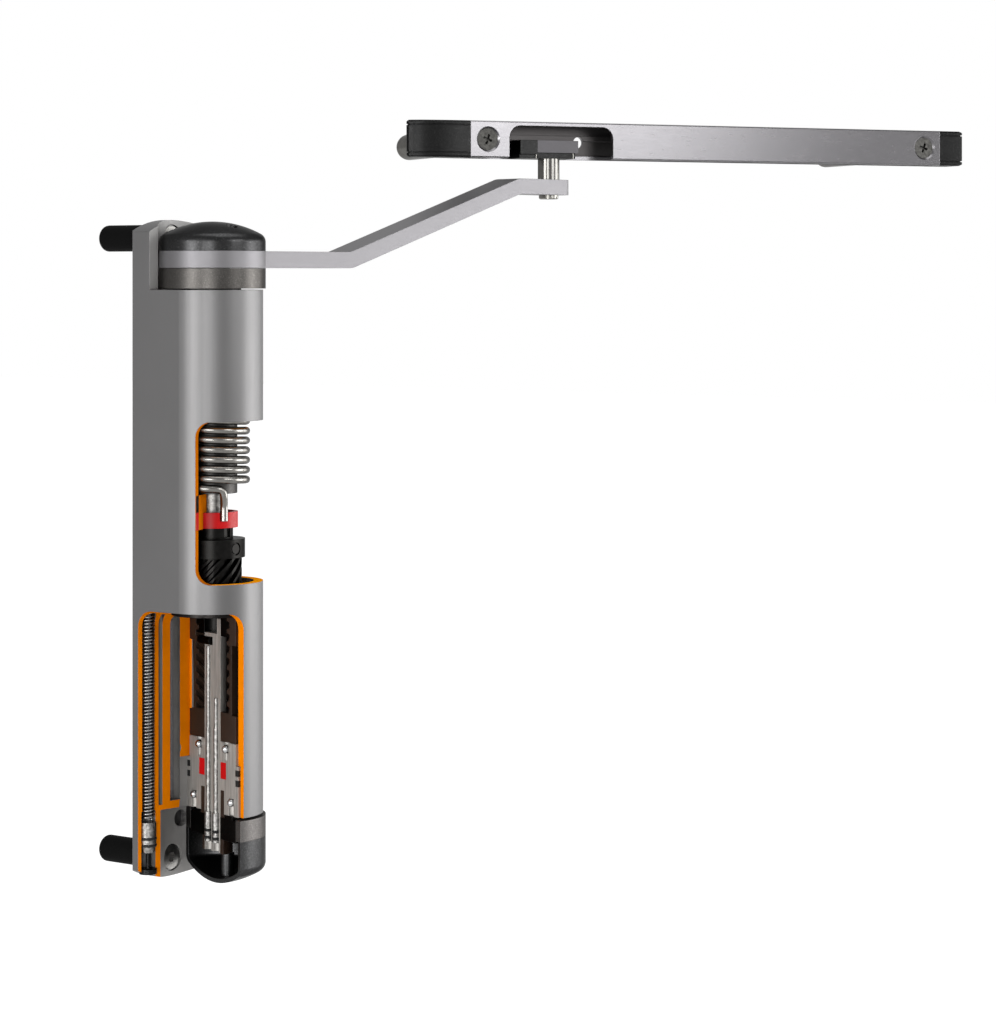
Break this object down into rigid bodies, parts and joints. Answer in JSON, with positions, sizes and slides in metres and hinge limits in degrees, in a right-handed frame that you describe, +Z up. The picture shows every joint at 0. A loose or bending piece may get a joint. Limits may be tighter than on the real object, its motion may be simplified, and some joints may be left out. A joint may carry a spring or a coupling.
{
  "type": "hydraulic gate closer",
  "caption": "Hydraulic gate closer for a post, shown as a cutaway: cylinder housing with torsion spring, screw-driven piston and valves, a cranked swing arm and a slide rail for the gate.",
  "frame": {"origin": "on the mount face, midway between the mount screws", "axes": "+Z up along the cylinder, +Y into the post, +X towards the gate"},
  "size_m": [0.6387, 0.3106, 0.4609],
  "materials": {
    "extrusion": "satin anodised extrusion, cut faces orange",
    "arm_silver": "satin silver coat",
    "black_metal": "fine-textured black powder coat",
    "black_plastic": "matt moulded",
    "blackened_steel": "black oxide, oily",
    "steel": "turned",
    "spring_steel": "polished wire",
    "brown_plastic": "dark brown moulded",
    "red_plastic": "moulded",
    "sintered": "grey speckled casting",
    "rubber": "matt",
    "bush_metal": "turned",
    "chrome": "polished",
    "grey_plastic": "grey moulded"
  },
  "bodies": {
    "housing": {"housing": "extrusion", "bearing_ring": "black_metal", "top_bush": "bush_metal", "anchor_ring": "extrusion", "anchor_key": "black_plastic", "anchor_tab": "red_plastic", "anchor_collar": "red_plastic", "torsion_spring": "spring_steel", "valve_column": "sintered", "cross_pin": "blackened_steel", "valve_body": "sintered", "seal_insert": "red_plastic", "body_seals": "rubber", "check_balls": "chrome", "ball_plugs": "chrome", "column_bush": "brown_plastic", "column_nut": "brown_plastic", "bottom_plug": "black_metal", "bottom_ring": "black_metal", "bottom_cap": "black_metal", "mount_screws": "steel", "mount_sleeves": "black_plastic", "compensator_spring": "spring_steel", "compensator_plug": "black_plastic"},
    "spindle": {"arm": "arm_silver", "top_cap": "black_metal", "arm_screw": "steel", "spindle_shaft": "steel", "spring_driver": "black_metal", "spring_mandrel": "black_metal", "drive_collar": "blackened_steel", "collar_pin": "steel", "lead_screw": "blackened_steel", "arm_pin": "steel", "pin_nut": "steel"},
    "piston": {"piston_nut": "brown_plastic", "piston_guide": "black_plastic"},
    "slider": {"slider_block": "black_plastic", "slider_plate": "grey_plastic", "slider_pins": "steel"},
    "rail": {"rail": "arm_silver", "rail_cap_left": "black_plastic", "rail_cap_right": "black_plastic", "rail_screws": "steel", "sleeve_nuts": "chrome"},
    "speed_valve": {"speed_valve": "steel", "speed_rings": "rubber"},
    "latch_valve": {"latch_valve": "steel", "latch_rings": "rubber"},
    "compensator": {"compensator_piston": "steel", "compensator_rings": "rubber"}
  },
  "joints": [
    {"name": "arm_swing", "type": "hinge", "parent": "housing", "child": "spindle", "pos_m": [0, -0.0375, 0], "axis": [0, 0, 1], "range_deg": [-110, 0], "stiffness_Nm_per_rad": 6, "springref_deg": 20.05, "deforming": ["torsion_spring"]},
    {"name": "piston_travel", "type": "slide", "parent": "housing", "child": "piston", "axis": [0, 0, 1], "range_m": [0, 0.031]},
    {"name": "slider_pivot", "type": "hinge", "parent": "spindle", "child": "slider", "pos_m": [0.29003, -0.07981, 0.246], "axis": [0, 0, 1], "range_deg": [-100, 100]},
    {"name": "rail_slide", "type": "slide", "parent": "slider", "child": "rail", "axis": [0.8616, -0.5075, 0], "range_m": [-0.255, 0.012]},
    {"name": "speed_turn", "type": "hinge", "parent": "housing", "child": "speed_valve", "pos_m": [0.00104, -0.03364, -0.12], "axis": [0, 0, 1], "range_deg": [-180, 180]},
    {"name": "latch_turn", "type": "hinge", "parent": "housing", "child": "latch_valve", "pos_m": [-0.00104, -0.04136, -0.12], "axis": [0, 0, 1], "range_deg": [-180, 180]},
    {"name": "compensator_travel", "type": "slide", "parent": "housing", "child": "compensator", "axis": [0, 0, 1], "range_m": [0, 0.006], "stiffness_N_per_m": 4000, "springref_m": -0.002, "deforming": ["compensator_spring"]}
  ],
  "couplings": [
    {"joint": "piston_travel", "follows": "arm_swing", "m_per_rad": -0.015915}
  ]
}
